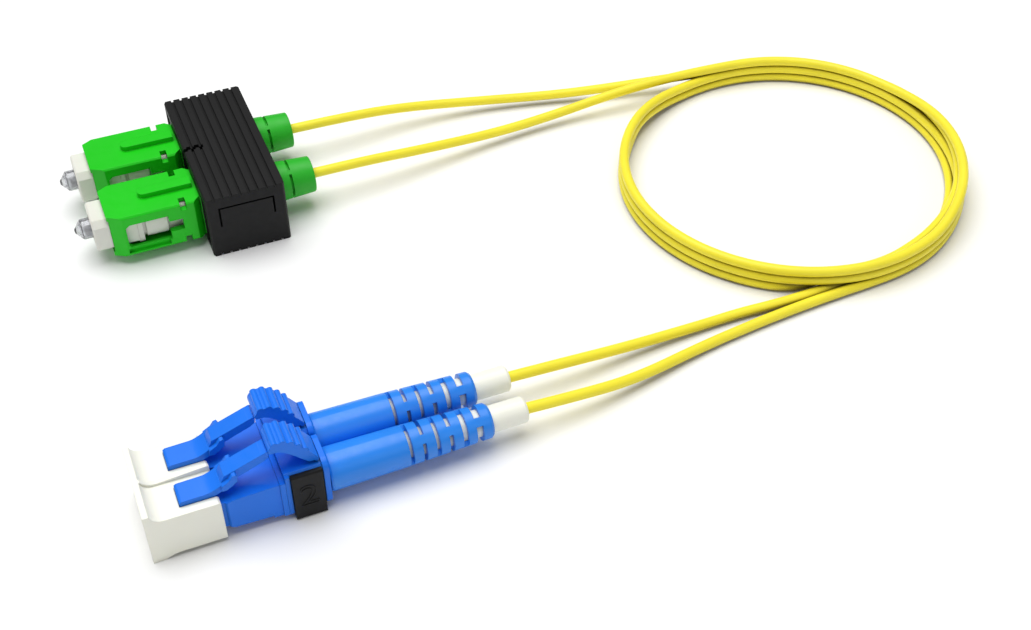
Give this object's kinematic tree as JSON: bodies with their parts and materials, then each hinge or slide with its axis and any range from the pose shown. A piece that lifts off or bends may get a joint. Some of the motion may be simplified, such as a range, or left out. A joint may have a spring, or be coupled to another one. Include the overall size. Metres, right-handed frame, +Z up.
{
  "type": "fibre patch cord",
  "caption": "Duplex fibre patch cord: yellow cords in a flat coil, square push-pull plugs in a clip at one end, small latched plugs in a clip at the other, all capped.",
  "frame": {"origin": "on the table, under the middle of the box round the two plug ends, the cords left out", "axes": "+X along the plugs towards the coil, +Y from the small plugs to the square plugs, +Z up"},
  "size_m": [0.1421, 0.0818, 0.0139],
  "materials": {
    "green_plastic": "satin moulded green",
    "green_rubber": "soft green",
    "off_white_plastic": "satin off-white",
    "white_ceramic": "polished white ceramic",
    "bright_metal": "nickel plated",
    "spring_steel": "bright",
    "fibre_buffer": "smooth white",
    "clear_plastic": "clear",
    "blue_plastic": "satin moulded blue",
    "blue_rubber": "satin blue",
    "white_plastic": "satin white",
    "black_plastic": "matt black",
    "yellow_jacket": "smooth yellow"
  },
  "bodies": {
    "cord_set": {"sc_plug_frame_1": "off_white_plastic", "sc_spring_1": "spring_steel", "sc_stop_body_1": "bright_metal", "sc_crimp_ring_1": "bright_metal", "sc_fibre_1": "fibre_buffer", "sc_boot_1": "green_rubber", "lc_body_1": "blue_plastic", "lc_spring_1": "spring_steel", "lc_rear_body_1": "blue_plastic", "lc_crimp_sleeve_1": "bright_metal", "lc_fibre_1": "fibre_buffer", "lc_inner_sleeve_1": "white_plastic", "lc_boot_1": "blue_rubber", "sc_plug_frame_2": "off_white_plastic", "sc_spring_2": "spring_steel", "sc_stop_body_2": "bright_metal", "sc_crimp_ring_2": "bright_metal", "sc_fibre_2": "fibre_buffer", "sc_boot_2": "green_rubber", "lc_body_2": "blue_plastic", "lc_spring_2": "spring_steel", "lc_rear_body_2": "blue_plastic", "lc_crimp_sleeve_2": "bright_metal", "lc_fibre_2": "fibre_buffer", "lc_inner_sleeve_2": "white_plastic", "lc_boot_2": "blue_rubber", "lc_duplex_clip": "black_plastic", "sc_tail_outer": "yellow_jacket", "sc_tail_inner": "yellow_jacket", "lc_tail_inner": "yellow_jacket", "lc_tail_outer": "yellow_jacket", "cord_coil": "yellow_jacket"},
    "sc_grip": {"sc_housing_1": "green_plastic", "sc_housing_2": "green_plastic", "sc_duplex_clip": "black_plastic"},
    "sc_ferrule_1": {"sc_ferrule_1": "white_ceramic", "sc_ferrule_flange_1": "bright_metal"},
    "sc_cap_1": {"sc_dust_cap_1": "clear_plastic"},
    "sc_ferrule_2": {"sc_ferrule_2": "white_ceramic", "sc_ferrule_flange_2": "bright_metal"},
    "sc_cap_2": {"sc_dust_cap_2": "clear_plastic"},
    "lc_ferrule_1": {"lc_ferrule_1": "white_ceramic", "lc_ferrule_flange_1": "bright_metal"},
    "lc_trigger_1": {"lc_trigger_1": "blue_plastic"},
    "lc_latch_1": {"lc_latch_1": "blue_plastic"},
    "lc_ferrule_2": {"lc_ferrule_2": "white_ceramic", "lc_ferrule_flange_2": "bright_metal"},
    "lc_trigger_2": {"lc_trigger_2": "blue_plastic"},
    "lc_latch_2": {"lc_latch_2": "blue_plastic"},
    "lc_cap": {"lc_dust_cap": "white_plastic"}
  },
  "joints": [
    {"name": "sc_grip_slide", "type": "slide", "parent": "cord_set", "child": "sc_grip", "axis": [1, 0, 0], "range_m": [0, 0.0012]},
    {"name": "sc_ferrule_slide_1", "type": "slide", "parent": "cord_set", "child": "sc_ferrule_1", "axis": [1, 0, 0], "range_m": [0, 0.001], "stiffness_N_per_m": 2000, "springref_m": -0.003, "deforming": ["sc_spring_1"]},
    {"name": "sc_cap_pull_1", "type": "slide", "parent": "cord_set", "child": "sc_cap_1", "axis": [-1, 0, 0], "range_m": [0, 0.008]},
    {"name": "sc_ferrule_slide_2", "type": "slide", "parent": "cord_set", "child": "sc_ferrule_2", "axis": [1, 0, 0], "range_m": [0, 0.001], "stiffness_N_per_m": 2000, "springref_m": -0.003, "deforming": ["sc_spring_2"]},
    {"name": "sc_cap_pull_2", "type": "slide", "parent": "cord_set", "child": "sc_cap_2", "axis": [-1, 0, 0], "range_m": [0, 0.008]},
    {"name": "lc_ferrule_slide_1", "type": "slide", "parent": "cord_set", "child": "lc_ferrule_1", "axis": [1, 0, 0], "range_m": [0, 0.0008], "stiffness_N_per_m": 1500, "springref_m": -0.003, "deforming": ["lc_spring_1"]},
    {"name": "lc_trigger_press_1", "type": "hinge", "parent": "cord_set", "child": "lc_trigger_1", "pos_m": [-0.00343, -0.03757, 0.00885], "axis": [0, -1, 0], "range_deg": [0, 12], "stiffness_Nm_per_rad": 0.002},
    {"name": "lc_latch_press_1", "type": "hinge", "parent": "cord_set", "child": "lc_latch_1", "pos_m": [-0.02038, -0.03757, 0.00682], "axis": [0, 1, 0], "range_deg": [0, 6], "stiffness_Nm_per_rad": 0.002},
    {"name": "lc_ferrule_slide_2", "type": "slide", "parent": "cord_set", "child": "lc_ferrule_2", "axis": [1, 0, 0], "range_m": [0, 0.0008], "stiffness_N_per_m": 1500, "springref_m": -0.003, "deforming": ["lc_spring_2"]},
    {"name": "lc_trigger_press_2", "type": "hinge", "parent": "cord_set", "child": "lc_trigger_2", "pos_m": [-0.00343, -0.03132, 0.00885], "axis": [0, -1, 0], "range_deg": [0, 12], "stiffness_Nm_per_rad": 0.002},
    {"name": "lc_latch_press_2", "type": "hinge", "parent": "cord_set", "child": "lc_latch_2", "pos_m": [-0.02038, -0.03132, 0.00682], "axis": [0, 1, 0], "range_deg": [0, 6], "stiffness_Nm_per_rad": 0.002},
    {"name": "lc_cap_pull", "type": "slide", "parent": "cord_set", "child": "lc_cap", "axis": [-1, 0, 0], "range_m": [0, 0.012]}
  ],
  "couplings": [
    {"joint": "lc_latch_press_1", "follows": "lc_trigger_press_1", "ratio": 0.5},
    {"joint": "lc_latch_press_2", "follows": "lc_trigger_press_2", "ratio": 0.5}
  ]
}
